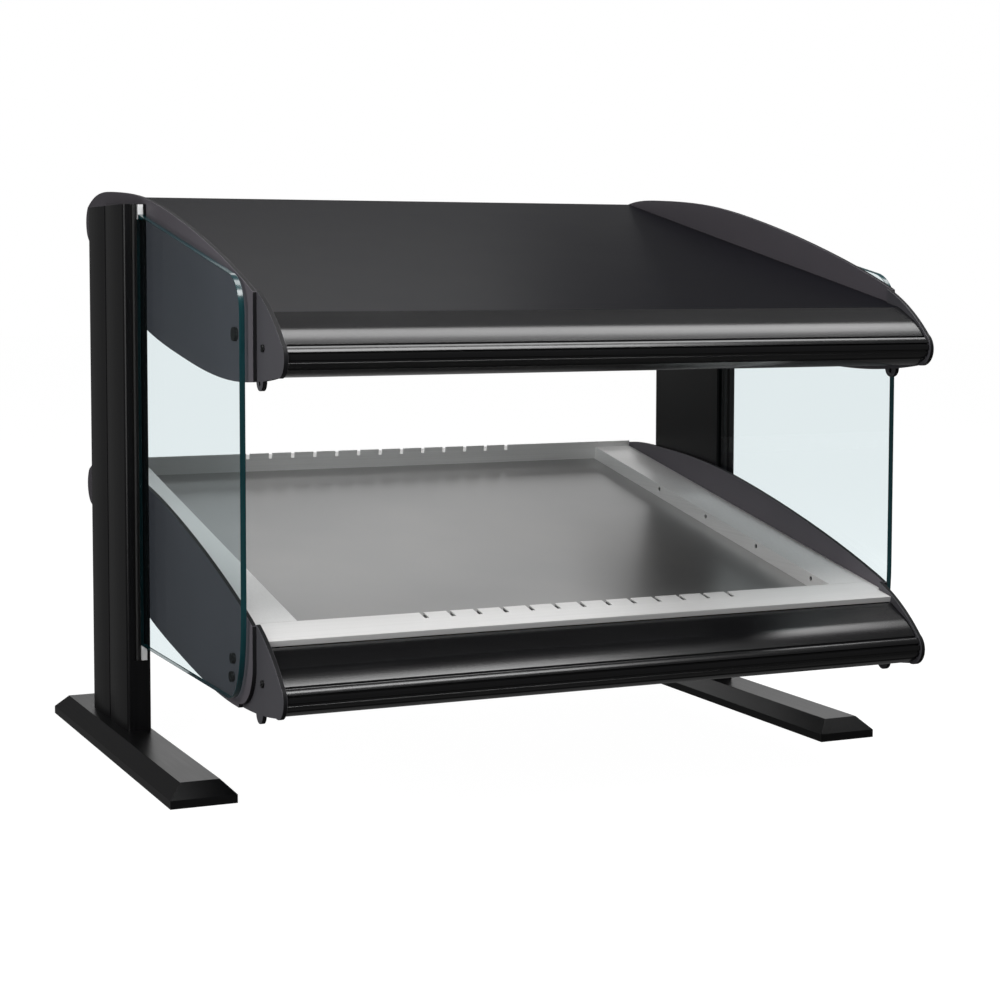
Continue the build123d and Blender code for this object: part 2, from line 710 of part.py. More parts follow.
def make_rear_cover(rear, pan_top, high):
    """Angle that closes the back of a level: it stands on the pan, its flange under the top."""
    cover = block(-PLATE_INNER, PLATE_INNER, rear, rear + SHEET, pan_top + SEAT_GAP, high)
    cover += block(-PLATE_INNER, PLATE_INNER, rear - COVER_FLANGE, rear, high - SHEET, high)
    return cover


def pan_top(rear_face):
    return pan_underside(rear_face) + PAN_THICK / cos(PAN_REAR_TILT)


def make_reflector():
    """Trough over the heater window, its flanges lying on the pan and its ends bored."""
    half = HEATER_OPENING / 2
    top = REFLECTOR_TOP / 2
    floor = PAN_THICK
    sides = [(-half, floor), (-top, REFLECTOR_HIGH), (top, REFLECTOR_HIGH), (half, floor)]
    fold = [(-half - REFLECTOR_FLANGE, floor)] + sides + [(half + REFLECTOR_FLANGE, floor)]
    shell = bent_sheet(fold, REFLECTOR_THICK, -HEATER_HALF, HEATER_HALF, Side.LEFT)
    end_face = make_face(Polyline(*sides, close=True))
    for x0 in (-HEATER_HALF, HEATER_HALF - REFLECTOR_THICK):
        end = slab(end_face, x0, x0 + REFLECTOR_THICK)
        shell += end - rod_x(INSULATOR_HOLE, x0 - OVER, x0 + 2 * OVER, 0, ELEMENT_HEIGHT)
    return HEAT_BED.location * shell


def make_element():
    reach = HEATER_HALF + ELEMENT_STUB
    return HEAT_BED.location * rod_x(ELEMENT_DIAMETER, -reach, reach, 0, ELEMENT_HEIGHT)


def make_insulators():
    """Ceramic bushings that hold the element in the ends of the reflector."""
    end = HEATER_HALF + INSULATOR_LONG
    neck = HEATER_HALF - INSULATOR_NECK_LONG
    ring = rod_x(INSULATOR_DIAMETER, HEATER_HALF, end, 0, ELEMENT_HEIGHT)
    ring += rod_x(INSULATOR_NECK, neck, HEATER_HALF + OVER, 0, ELEMENT_HEIGHT)
    ring -= rod_x(ELEMENT_DIAMETER + ELEMENT_CLEAR, neck - OVER, end + OVER, 0, ELEMENT_HEIGHT)
    return both_sides(HEAT_BED.location * ring)


def make_guard():
    """Wire guard under the element: two side wires and the cross bars welded below them."""
    half = HEATER_OPENING / 2 - GUARD_INSET
    reach = HEATER_HALF - GUARD_END_GAP
    middle = PAN_THICK / 2
    guard = rod_x(GUARD_WIRE, -reach, reach, -half, middle)
    guard += rod_x(GUARD_WIRE, -reach, reach, half, middle)
    for x in even_steps(HEATER_HALF - GUARD_BAR_MARGIN, GUARD_BARS):
        guard += rod_y(GUARD_BAR, x, -half, half, middle - GUARD_BAR_DROP)
    return HEAT_BED.location * guard


def make_light_housing():
    """Channel that stands on the pan over the light's window, with a rim all round."""
    low = PAN_LOW + PAN_THICK
    top = low + LIGHT_HIGH
    rear = LIGHT_FRONT + LIGHT_WIDE
    box = block(-LIGHT_HALF, LIGHT_HALF, LIGHT_FRONT - SHEET, rear + SHEET, low, top)
    rim_half = LIGHT_HALF + LIGHT_FLANGE
    rim = block(-rim_half, rim_half, LIGHT_FRONT - LIGHT_FLANGE, rear + LIGHT_FLANGE, low, low + SHEET)
    inside_half = LIGHT_HALF - SHEET
    inside = block(-inside_half, inside_half, LIGHT_FRONT, rear, low - OVER, top - SHEET)
    return box + rim - inside


def make_light_board():
    top = PAN_LOW + PAN_THICK + LIGHT_HIGH - SHEET
    under = top - BOARD_THICK
    middle = LIGHT_FRONT + LIGHT_WIDE / 2
    half = LIGHT_HALF - BOARD_INSET
    board = block(-half, half, middle - BOARD_WIDE / 2, middle + BOARD_WIDE / 2, under, top)
    lamp = Box(LAMP_SIZE, LAMP_SIZE, LAMP_HIGH)
    for x in even_steps(LIGHT_HALF - LAMP_MARGIN, LAMP_COUNT):
        board += Pos(x, middle, under - LAMP_HIGH / 2) * lamp
    return board


def make_lens():
    top = PAN_LOW + PAN_THICK
    half = LIGHT_HALF - LENS_CLEAR
    front = LIGHT_FRONT + LENS_CLEAR
    rear = LIGHT_FRONT + LIGHT_WIDE - LENS_CLEAR
    return block(-half, half, front, rear, top - LENS_THICK, top)


# Shelf: rails and deck

def notch_cutters(y0, y1, z0, z1):
    half = (NOTCH_COUNT - 1) / 2 * NOTCH_PITCH
    side = NOTCH_WIDE / 2
    return [block(x - side, x + side, y0, y1, z0, z1) for x in even_steps(half, NOTCH_COUNT)]


def make_front_rail():
    rail = block(-PLATE_INNER, PLATE_INNER, RAIL_FRONT, RAIL_INNER, -SHEET, 0)
    rail += block(-PLATE_INNER, PLATE_INNER, RAIL_FRONT, RAIL_FRONT + SHEET, -RAIL_LIP, 0)
    rail -= cap_room((FIN_END + LEVEL_BACK) / cos(DECK_TILT))
    wall = RAIL_INNER - SHEET
    rail += block(-SIDE_RAIL_INNER, SIDE_RAIL_INNER, wall, RAIL_INNER, -RAIL_DROP, 0)
    rail -= notch_cutters(RAIL_INNER - NOTCH_LONG, RAIL_INNER + OVER, -NOTCH_DEEP, OVER)
    return DECK.location * rail


def make_rear_rail():
    wall = DECK_REAR + SHEET
    rail = block(-PLATE_INNER, PLATE_INNER, DECK_REAR, wall, -RAIL_DROP, REAR_RAIL_RISE)
    rail += block(-PLATE_INNER, PLATE_INNER, DECK_REAR, DECK_REAR + REAR_LEDGE, -SHEET, 0)
    low = REAR_RAIL_RISE - NOTCH_DEEP
    rail -= notch_cutters(DECK_REAR - OVER, wall + OVER, low, REAR_RAIL_RISE + OVER)
    return DECK.location * rail


def make_side_rail():
    front = RAIL_INNER + RAIL_JOINT
    rear = DECK_REAR - RAIL_JOINT
    wall = SIDE_RAIL_INNER + SHEET
    rail = block(SIDE_RAIL_INNER, PLATE_INNER, front, rear, -SHEET, 0)
    rail += block(SIDE_RAIL_INNER, wall, front, rear, -RAIL_DROP, 0)
    for i in range(RAIL_HOLE_COUNT):
        y = RAIL_HOLE_FIRST + i * RAIL_HOLE_PITCH
        rail -= rod_x(RAIL_HOLE_DIAMETER, SIDE_RAIL_INNER - OVER, wall + OVER, y, -RAIL_HOLE_DOWN)
    return DECK.location * rail


def make_heated_plate():
    front = RAIL_INNER - SHEET - HEAT_PLATE_LAP
    low = -RAIL_DROP - HEAT_PLATE_THICK
    half = HEAT_PLATE_HALF
    return DECK.location * block(-half, half, front, DECK_REAR + SHEET, low, -RAIL_DROP)


def make_blanket():
    """Heating blanket: a thin mat glued under the heated plate."""
    top = -RAIL_DROP - HEAT_PLATE_THICK
    half = INSULATION_HALF - BLANKET_SIDE_INSET
    front = INSULATION_FRONT + BLANKET_END_INSET
    rear = INSULATION_REAR - BLANKET_END_INSET
    return DECK.location * block(-half, half, front, rear, top - BLANKET_THICK, top)


def make_insulation():
    top = -RAIL_DROP - HEAT_PLATE_THICK - BLANKET_THICK
    half = INSULATION_HALF
    low = top - INSULATION_THICK
    return DECK.location * block(-half, half, INSULATION_FRONT, INSULATION_REAR, low, top)


def make_deck_bracket():
    """Angle on the side plate that carries the edge of the heated plate."""
    top = -RAIL_DROP - HEAT_PLATE_THICK
    front = CAP_REAR + BRACKET_END_GAP
    rear = DECK_REAR - BRACKET_END_GAP
    bracket = block(PLATE_INNER - BRACKET_WIDE, PLATE_INNER, front, rear, top - SHEET, top)
    bracket += block(PLATE_INNER - SHEET, PLATE_INNER, front, rear, top - BRACKET_HIGH, top)
    return DECK.location * bracket


def make_plate_sensor():
    """Thermostat bulb against the underside of the heated plate, with its two straps."""
    top = -RAIL_DROP - HEAT_PLATE_THICK
    radius = SENSOR_DIAMETER / 2
    start = -SENSOR_OFF_MIDDLE - SENSOR_LONG
    end = -SENSOR_OFF_MIDDLE
    y = INSULATION_REAR + SENSOR_BEHIND
    sensor = rod_x(SENSOR_DIAMETER, start, end, y, top - radius)
    reach = radius + STRAP_EAR
    for x in (start + STRAP_INSET, end - STRAP_INSET - STRAP_WIDE):
        strap = block(x, x + STRAP_WIDE, y - reach, y + reach, top - STRAP_THICK, top)
        loop = rod_x(SENSOR_DIAMETER + 2 * STRAP_THICK, x, x + STRAP_WIDE, y, top - radius)
        sensor += strap + (loop & block(-PAST, PAST, -PAST, PAST, -PAST, top))
    return DECK.location * sensor


# Rear controls of the shelf

def make_shelf_rear_cover():
    """Rear cover with its openings for the knobs' bushings, the switches and the power inlet."""
    low = pan_top(SHELF_FACE - LEVEL_BACK) - LEVEL_DROP
    high = deck_underside(SHELF_REAR - COVER_FLANGE) - SEAT_GAP
    cover = make_rear_cover(SHELF_REAR, low, high)
    front = SHELF_REAR - OVER
    rear = SHELF_FACE + OVER
    for x in (SHELF_KNOB_X, CANOPY_KNOB_X):
        cover -= rod_y(BUSHING_DIAMETER + HOLE_CLEAR, x, front, rear, CONTROL_HEIGHT)
    wide = ROCKER_WIDE / 2 + ROCKER_CLEAR + SWITCH_WALL
    tall = ROCKER_RADIUS + ROCKER_CLEAR + SWITCH_WALL
    for x in (POWER_SWITCH_X, LIGHT_SWITCH_X):
        cover -= block(
            x - wide, x + wide, front, rear, CONTROL_HEIGHT - tall, CONTROL_HEIGHT + tall
        )
    return cover - rod_y(GLAND_SHANK + HOLE_CLEAR, GLAND_X, front, rear, CONTROL_HEIGHT)


def make_regulator(x):
    """Heat regulator behind the rear cover, with a threaded bushing through it."""
    z = CONTROL_HEIGHT
    wide = REGULATOR_WIDE / 2
    tall = REGULATOR_HIGH / 2
    back = SHELF_REAR - REGULATOR_LONG
    body = block(x - wide, x + wide, back, SHELF_REAR, z - tall, z + tall)
    body += rod_y(BUSHING_DIAMETER, x, SHELF_REAR - OVER, SHELF_FACE + BUSHING_PROUD, z)
    tab = Box(TAB_WIDE, TAB_LONG, TAB_THICK)
    for side in (-1, 1):
        body += Pos(x + side * REGULATOR_TAB_OUT, back - TAB_LONG / 2, z) * tab
    bore = SHAFT_DIAMETER + 2 * SHAFT_CLEAR
    return body - rod_y(bore, x, SHELF_REAR - REGULATOR_BORE_DEEP, SHELF_FACE + SHAFT_PROUD, z)


def shaft_flat(x, end):
    """The space beside the flat of a D-shaped shaft."""
    z = CONTROL_HEIGHT + SHAFT_FLAT
    start = SHELF_FACE + SHAFT_FLAT_START
    return block(x - SHAFT_DIAMETER, x + SHAFT_DIAMETER, start, end, z, z + SHAFT_DIAMETER)


def make_shaft(x):
    start = SHELF_REAR - REGULATOR_BORE_DEEP + SHAFT_CLEAR
    end = SHELF_FACE + SHAFT_PROUD
    return rod_y(SHAFT_DIAMETER, x, start, end, CONTROL_HEIGHT) - shaft_flat(x, end + OVER)


def make_knob(x):
    """Fluted knob with a skirt, a pointer rib and a D-shaped socket for the shaft."""
    z = CONTROL_HEIGHT
    start = SHELF_FACE + BUSHING_PROUD + KNOB_GAP
    grip = start + KNOB_SKIRT
    end = start + KNOB_LONG
    knob = rod_y(KNOB_DIAMETER, x, start, grip, z)
    knob += rod_y(KNOB_GRIP, x, grip, end, z)
    ring = KNOB_GRIP / 2 + KNOB_FLUTE_OUT
    for i in range(KNOB_FLUTES):
        turn = radians(360 / KNOB_FLUTES * (i + 0.5))
        knob -= rod_y(KNOB_FLUTE, x + ring * sin(turn), grip, end + OVER, z + ring * cos(turn))
    knob += block(
        x - KNOB_POINTER / 2, x + KNOB_POINTER / 2, end - KNOB_POINTER_HIGH, end + KNOB_POINTER_HIGH,
        z + KNOB_POINTER, z + KNOB_GRIP / 2 - KNOB_POINTER,
    )
    shaft_end = SHELF_FACE + SHAFT_PROUD
    socket = rod_y(SHAFT_DIAMETER, x, start - OVER, shaft_end, z) - shaft_flat(x, end)
    return knob - socket


def make_switch_body(x):
    """Snap-in switch body: a square sleeve with a bezel, a round pocket and three tabs."""
    z = CONTROL_HEIGHT
    inside_wide = ROCKER_WIDE / 2 + ROCKER_CLEAR
    inside_tall = ROCKER_RADIUS + ROCKER_CLEAR
    wide = inside_wide + SWITCH_WALL - SWITCH_FIT
    tall = inside_tall + SWITCH_WALL - SWITCH_FIT
    pivot = SHELF_FACE + PIVOT_PROUD
    back = SHELF_FACE - SWITCH_DEEP
    body = block(x - wide, x + wide, back, SHELF_FACE, z - tall, z + tall)
    body += block(
        x - wide - SWITCH_BEZEL, x + wide + SWITCH_BEZEL, SHELF_FACE, SHELF_FACE + SWITCH_LIP,
        z - tall - SWITCH_BEZEL, z + tall + SWITCH_BEZEL,
    )
    body -= rod_x(2 * inside_tall, x - inside_wide, x + inside_wide, pivot, z)
    body -= block(
        x - inside_wide, x + inside_wide, pivot, SHELF_FACE + SWITCH_LIP + OVER,
        z - inside_tall, z + inside_tall,
    )
    pin_hole = ROCKER_PIN + 2 * ROCKER_PIN_CLEAR
    body -= rod_x(pin_hole, x - inside_wide - OVER, x + inside_wide + OVER, pivot, z)
    tab = Box(TAB_WIDE, TAB_LONG, TAB_THICK)
    for up in SWITCH_TABS:
        body += Pos(x, back - TAB_LONG / 2, z + up) * tab
    return body


def make_rocker(x):
    """Rocker in its off position: a slice of a drum, its face two flats meeting in a shallow V."""
    wide = ROCKER_WIDE / 2
    lean = ROCKER_THROW / 2
    rocker = rod_x(2 * ROCKER_RADIUS, x - wide, x + wide, 0, 0)
    far = 2 * ROCKER_RADIUS
    for side in (-1, 1):
        waste = block(-wide - OVER, wide + OVER, 0, far, min(0, side * far), max(0, side * far))
        rocker -= Pos(x, ROCKER_PROUD, 0) * Rot(-side * lean, 0, 0) * waste
    rocker -= block(x - wide - OVER, x + wide + OVER, -far, -ROCKER_BACK, -far, far)
    rocker += rod_x(ROCKER_PIN, x - wide - ROCKER_PIN_END, x + wide + ROCKER_PIN_END, 0, 0)
    return Pos(0, SHELF_FACE + PIVOT_PROUD, CONTROL_HEIGHT) * Rot(-lean, 0, 0) * rocker


def make_gland():
    """Power inlet gland with its nut inside the cover, left without its cord."""
    z = CONTROL_HEIGHT
    flange_end = SHELF_FACE + GLAND_FLANGE_LONG
    inside = SHELF_REAR - GLAND_INSIDE
    gland = rod_y(GLAND_FLANGE, GLAND_X, SHELF_FACE, flange_end, z)
    gland += rod_y(GLAND_DOME, GLAND_X, flange_end, SHELF_FACE + GLAND_PROUD, z)
    gland += rod_y(GLAND_SHANK, GLAND_X, inside, SHELF_FACE, z)
    nut_face = Plane(origin=(GLAND_X, SHELF_REAR, z), z_dir=(0, -1, 0))
    gland += extrude(nut_face * RegularPolygon(GLAND_NUT_RADIUS, 6), amount=GLAND_NUT_LONG)
    return gland - rod_y(GLAND_BORE, GLAND_X, inside - OVER, SHELF_FACE + GLAND_PROUD + OVER, z)


def make_terminal_block():
    """Barrier terminal block standing on the rear slope of the shelf's pan."""
    start = TERMINAL_UP_SLOPE
    end = start + TERMINAL_WIDE
    base = PAN_THICK + TERMINAL_BASE
    top = PAN_THICK + TERMINAL_HIGH
    long = TERMINALS * TERMINAL_PITCH + TERMINAL_WALL
    terminal = block(0, long, start, end, PAN_THICK, base)
    for i in range(TERMINALS + 1):
        x = i * TERMINAL_PITCH
        terminal += block(x, x + TERMINAL_WALL, start, end, PAN_THICK, top)
    for i in range(TERMINALS):
        x = (i + 0.5) * TERMINAL_PITCH + TERMINAL_WALL / 2
        for y in (start + TERMINAL_SCREW_INSET, end - TERMINAL_SCREW_INSET):
            terminal += rod_z(TERMINAL_SCREW, x, y, base - OVER, base + OVER)
    to_side = Pos(GLAND_X - TERMINAL_FROM_GLAND, 0, 0)
    return TO_SHELF * to_side * PAN_SLOPE.location * terminal


def build_stand():
    pair("foot", make_foot())
    pair("post", make_post())
    group("foot_screws", make_foot_screws())
    group("canopy_side_bolts", make_side_bolts(canopy_bolt_spots()))
    group("shelf_side_bolts", make_side_bolts(shelf_bolt_spots()))


def build_sides():
    plate = make_side_plate()
    pair("canopy_side_plate", plate)
    pair("shelf_side_plate", TO_SHELF * round_front_corner(plate))
    above_roof = ROOF.location * block(0, PAST, 0, PAST, -SHEET, PAST)
    above_deck = DECK.location * block(0, PAST, RAIL_FRONT, PAST, -SHEET, PAST)
    pair("canopy_end_cap", make_end_cap(above_roof) - make_ear_hole())
    pair("shelf_end_cap", TO_SHELF * make_end_cap(TO_SHELF.inverse() * above_deck))
    nose = make_nose()
    parts["canopy_nose"] = nose
    parts["shelf_nose"] = TO_SHELF * nose
    group("cap_screws", make_cap_screws())


def build_glazing():
    pair("glass", make_glass())
    group("glazing_strips", both_sides(make_glazing_strip()))
    group("upper_glass_stops", both_sides(make_stop(GLASS_STEP_TOP, POST_TOP)))
    group("lower_glass_stops", both_sides(make_stop(GROOVE_BOTTOM, GLASS_BOTTOM)))
    group("canopy_glass_bumpers", make_bumpers(CANOPY_BUMPERS, CANOPY_BUMPER_DIAMETER))
    group("shelf_glass_bumpers", make_bumpers(SHELF_BUMPERS, SHELF_BUMPER_DIAMETER))


def build_canopy():
    parts["canopy_roof_panel"] = make_roof_panel()
    parts["canopy_bottom_pan"] = make_pan(CANOPY_FACE) - pan_windows()
    under_roof = roof_underside(CANOPY_REAR - COVER_FLANGE) - SEAT_GAP
    cover = make_rear_cover(CANOPY_REAR, pan_top(CANOPY_FACE), under_roof)
    parts["canopy_rear_cover"] = cover
    parts["reflector"] = make_reflector()
    parts["infrared_element"] = make_element()
    group("element_insulators", make_insulators())
    parts["element_guard"] = make_guard()
    parts["light_housing"] = make_light_housing()
    parts["light_board"] = make_light_board()
    parts["light_lens"] = make_lens()


def build_shelf():
    parts["shelf_bottom_pan"] = TO_SHELF * make_pan(SHELF_FACE - LEVEL_BACK)
    parts["front_divider_rail"] = make_front_rail()
    parts["rear_divider_rail"] = make_rear_rail()
    pair("side_rail", make_side_rail())
    parts["heated_plate"] = make_heated_plate()
    parts["heating_blanket"] = make_blanket()
    parts["insulation"] = make_insulation()
    pair("deck_bracket", make_deck_bracket())
    parts["plate_sensor"] = make_plate_sensor()
    parts["terminal_block"] = make_terminal_block()


def build_controls():
    parts["shelf_rear_cover"] = make_shelf_rear_cover()
    parts["power_inlet_gland"] = make_gland()
    for name, x in (("shelf_heat", SHELF_KNOB_X), ("canopy_heat", CANOPY_KNOB_X)):
        parts[name + "_regulator"] = make_regulator(x)
        parts[name + "_shaft"] = make_shaft(x)
        parts[name + "_knob"] = make_knob(x)
    for name, x in (("power", POWER_SWITCH_X), ("light", LIGHT_SWITCH_X)):
        parts[name + "_switch_body"] = make_switch_body(x)
        parts[name + "_rocker"] = make_rocker(x)


def write_parts():
    """Moves everything so that the middle of its depth is at Y = 0, and writes one file a piece."""
    front = min(shape.bounding_box().min.Y for shape in parts.values())
    rear = max(shape.bounding_box().max.Y for shape in parts.values())
    middle = (front + rear) / 2
    print("depth", round(rear - front, 3), "moved back by", round(middle, 3))
    os.makedirs("parts", exist_ok=True)
    for name, shape in parts.items():
        export_step(Pos(0, -middle, 0) * shape, "parts/" + name + ".step")


build_stand()
build_sides()
build_glazing()
build_canopy()
build_shelf()
build_controls()
write_parts()
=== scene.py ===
import json
from math import cos, radians, sin

import bmesh
import bpy
from mathutils import Matrix, Vector


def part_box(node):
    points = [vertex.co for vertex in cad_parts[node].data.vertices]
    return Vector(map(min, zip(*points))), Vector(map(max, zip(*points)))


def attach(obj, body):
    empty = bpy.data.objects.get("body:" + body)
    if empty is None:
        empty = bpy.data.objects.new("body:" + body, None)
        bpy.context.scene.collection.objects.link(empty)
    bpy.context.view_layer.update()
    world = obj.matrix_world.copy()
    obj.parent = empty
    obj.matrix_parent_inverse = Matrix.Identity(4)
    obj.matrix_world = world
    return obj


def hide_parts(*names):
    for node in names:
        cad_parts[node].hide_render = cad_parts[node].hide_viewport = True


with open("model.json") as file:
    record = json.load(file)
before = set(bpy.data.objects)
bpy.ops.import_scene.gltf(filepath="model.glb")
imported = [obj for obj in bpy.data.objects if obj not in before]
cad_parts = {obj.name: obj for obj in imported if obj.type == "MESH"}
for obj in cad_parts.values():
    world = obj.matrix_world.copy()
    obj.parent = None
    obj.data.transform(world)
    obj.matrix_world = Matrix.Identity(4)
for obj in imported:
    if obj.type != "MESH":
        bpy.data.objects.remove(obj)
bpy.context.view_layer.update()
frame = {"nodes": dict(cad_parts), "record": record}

# Heated display shelf: finishes, broken edges, dial marks, camera and studio
NODES = frame["nodes"]
BODY_OF = {
    node: body for body, nodes in frame["record"]["behaviour"]["bodies"].items() for node in nodes
}
SIDES = ("left", "right")
LEVELS = ("shelf", "canopy")

# Camera, in metres and degrees, with its lens and sensor in millimetres
CAMERA_AT = Vector((-0.8521, -1.9026, 0.4613))
CAMERA_YAW = 23.6324
CAMERA_PITCH = -3.9790
CAMERA_ROLL = 0.0321
CAMERA_LENS = 76.293
CAMERA_SENSOR = 36.0
CAMERA_SHIFT = (0.04, -0.08)
CAMERA_REACH = 50.0

# Studio: the half side of the floor in metres, and how brightly floor, backdrop and room glow
FLOOR_HALF = 14.0
FLOOR_GREY = 0.1
FLOOR_GLOW = 0.985
BACKDROP_SHARE = 0.98
BACKDROP_STEPS = 4
BACKDROP_GLOW = 1.0
ROOM_LIGHT = 0.12

# Softboxes: name, width and height in metres, watts, where it hangs and where it points
SOFTBOXES = (
    ("overhead", (1.9, 0.55), 20.0, (0.55, -0.05, 1.9), (0.55, -0.05, 0.0)),
    ("front_top", (1.6, 0.5), 28.0, (0.1, -1.0, 1.8), (0.0, -0.3, 0.2)),
    ("front_left", (1.2, 1.2), 9.0, (-2.0, -2.2, 1.4), (0.0, 0.0, 0.3)),
    ("near_left", (0.5, 0.7), 5.0, (-0.95, -0.5, 0.45), (-0.33, 0.0, 0.33)),
    ("rear_low", (2.0, 0.5), 3.6, (0.8, 1.1, 0.54), (0.5, 0.0, 0.4)),
    ("rear_high", (0.8, 0.5), 2.4, (0.4, 1.4, 1.6), (0.0, -0.2, 0.4)),
    ("bay", (0.5, 0.3), 0.34, (0.0, 0.1, 0.395), (0.0, 0.1, 0.0)),
)

# Edge rounding, in metres
FINE_EDGE = 0.0002
SHEET_EDGE = 0.0004
CAST_EDGE = 0.0006
RIM_EDGE = 0.0007
GLASS_EDGE = 0.0005
EDGE_STEPS = 2

# How a node's mesh is read: points this close are one, faces this flat are one face, and an edge
# past this angle is sharp
MERGE = 0.000004
FLAT = radians(0.5)
SHARP = radians(32)

# A face counts as the broad face of a plate or pane if its normal points this much across
PLATE_FACE = 0.5
PANE_FACE = 0.9

# Marks round the dials, in metres and degrees
DIAL_RADIUS = 0.0175
DIAL_MARKS = 10
DIAL_FIRST = 135
DIAL_STEP = 30
DIAL_LONG_EVERY = 3
DIAL_MARK_LONG = 0.0035
DIAL_MARK_SHORT = 0.002
DIAL_MARK_WIDE = 0.0007
DIAL_MARK_THICK = 0.0002
DIAL_MARK_LIFT = 0.00005

# Pointer line on a knob, in metres
POINTER_WIDE = 0.0008
POINTER_THICK = 0.0004
POINTER_LONG = 0.006
POINTER_OUT = 0.0055
POINTER_LIFT = 0.0001

# Noise scales of a grain that runs one way: across it, along a drawn extrusion, a brushed sheet,
# a fibre and a polished glass edge
ACROSS = 900.0
DRAWN = 9.0
BRUSHED = 5.0
FIBRE = 250.0
POLISHED = 30.0

STEEL_TINT = (1.0, 0.995, 0.985)
ANODISED_TINT = (1.0, 1.0, 1.12)

# Glass: the colour that passes through a pane, and the share of gloss over it
GLASS_TINT = (0.900, 0.943, 0.951, 1.0)
GLASS_GLOSS = 0.04
GLASS_EDGE_DARK = (0.0, 0.020, 0.024, 1.0)
GLASS_EDGE_LIGHT = (0.004, 0.050, 0.058, 1.0)


class Wave:
    """A shader value that Python expressions can add, subtract and multiply."""

    def __init__(self, paint, socket):
        self.paint = paint
        self.socket = socket

    def join(self, operation, first, second):
        return self.paint.node("Math", {"operation": operation}, [first, second])

    def __add__(self, other):
        return self.join("ADD", self, other)

    def __radd__(self, other):
        return self.join("ADD", other, self)

    def __sub__(self, other):
        return self.join("SUBTRACT", self, other)

    def __rsub__(self, other):
        return self.join("SUBTRACT", other, self)

    def __mul__(self, other):
        return self.join("MULTIPLY", self, other)

    def __rmul__(self, other):
        return self.join("MULTIPLY", other, self)


class Paint:
    """One procedural material."""

    def __init__(self, name):
        self.material = bpy.data.materials.new(name)
        self.material.use_nodes = True
        self.tree = self.material.node_tree
        self.shader = self.tree.nodes["Principled BSDF"]
        self.place = self.node("TexCoord", {}, [], "Object")

    def node(self, kind, settings, values, output=0):
        made = self.tree.nodes.new("ShaderNode" + kind)
        for key, value in settings.items():
            setattr(made, key, value)
        pairs = values.items() if isinstance(values, dict) else enumerate(values)
        for key, value in pairs:
            self.feed(made.inputs[key], value)
        return Wave(self, made.outputs[output])

    def feed(self, socket, value):
        if isinstance(value, Wave):
            self.tree.links.new(value.socket, socket)
        else:
            socket.default_value = value

    def set(self, **values):
        """Feeds the shader's sockets, named with underscores for their spaces."""
        for key, value in values.items():
            self.feed(self.shader.inputs[key.replace("_", " ")], value)

    def stretched(self, scale):
        return self.node("Mapping", {}, {"Vector": self.place, "Scale": scale})

    def noise(self, where, scale, detail, rough=0.5):
        return self.node(
            "TexNoise", {}, {"Vector": where, "Scale": scale, "Detail": detail, "Roughness": rough}
        )

    def ramp(self, value, low, high):
        """Spreads low..high of a value over 0..1."""
        return self.node("MapRange", {}, {"Value": value, "From Min": low, "From Max": high})

    def mix(self, factor, first, second):
        return self.node("Mix", {"data_type": "RGBA"}, {0: factor, 6: first, 7: second}, 2)

    def bump(self, height, distance, strength):
        return self.node(
            "Bump", {}, {"Height": height, "Distance": distance, "Strength": strength}
        )


def grey(level, tint=(1.0, 1.0, 1.0)):
    return (level * tint[0], level * tint[1], level * tint[2], 1.0)


def powder_coat(name, level, tint, specular, rough):
    """Satin powder coat: fine orange peel, faint clouding of the colour."""
    paint = Paint(name)
    peel = paint.noise(paint.place, 1500.0, 2.0)
    cloud = paint.noise(paint.place, 9.0, 3.0)
    dark, light = grey(level * 0.93, tint), grey(level * 1.07, tint)
    paint.set(
        Base_Color=paint.mix(paint.ramp(cloud, 0.3, 0.7), dark, light),
        Roughness=rough + 0.05 * cloud,
        Normal=paint.bump(peel, 0.00003, 0.5),
        Specular_IOR_Level=specular,
    )
    return paint.material


def anodised(name, level, grain, rough, streak, specular):
    """Black anodised extrusion with drawing lines along its length."""
    paint = Paint(name)
    lines = paint.noise(paint.stretched(grain), 1.0, 4.0, 0.65)
    cloud = paint.noise(paint.place, 12.0, 2.0)
    dark, light = grey(level * 0.8, ANODISED_TINT), grey(level * 1.25, ANODISED_TINT)
    paint.set(
        Base_Color=paint.mix(paint.ramp(lines, 0.35, 0.65), dark, light),
        Roughness=rough + streak * (lines - 0.5) + 0.04 * cloud,
        Normal=paint.bump(lines, 0.000008, 0.4),
        Specular_IOR_Level=specular,
    )
    return paint.material


def brushed(name, level, grain, rough):
    """Brushed stainless sheet: long fine scratches and a slight unevenness."""
    paint = Paint(name)
    fine = paint.noise(paint.stretched(grain), 1.0, 5.0, 0.7)
    broad = paint.noise(paint.place, 7.0, 2.0)
    dark, light = grey(level * 0.94, STEEL_TINT), grey(level * 1.04, STEEL_TINT)
    paint.set(
        Base_Color=paint.mix(paint.ramp(fine, 0.3, 0.7), dark, light),
        Roughness=rough + 0.12 * (fine - 0.5) + 0.05 * (broad - 0.5),
        Normal=paint.bump(fine, 0.000012, 0.5),
        Metallic=0.5,
    )
    return paint.material


def hard_coat(name):
    """Grey hard-coated heated plate, very fine grain, soft reflections."""
    paint = Paint(name)
    grain = paint.noise(paint.place, 1100.0, 2.0)
    broad = paint.noise(paint.place, 5.0, 3.0)
    dark, light = grey(0.34), grey(0.38, (1.0, 0.99, 0.98))
    paint.set(
        Base_Color=paint.mix(paint.ramp(broad, 0.35, 0.65), dark, light),
        Roughness=0.28 + 0.06 * grain,
        Normal=paint.bump(grain, 0.00001, 0.4),
        Metallic=0.8,
    )
    return paint.material


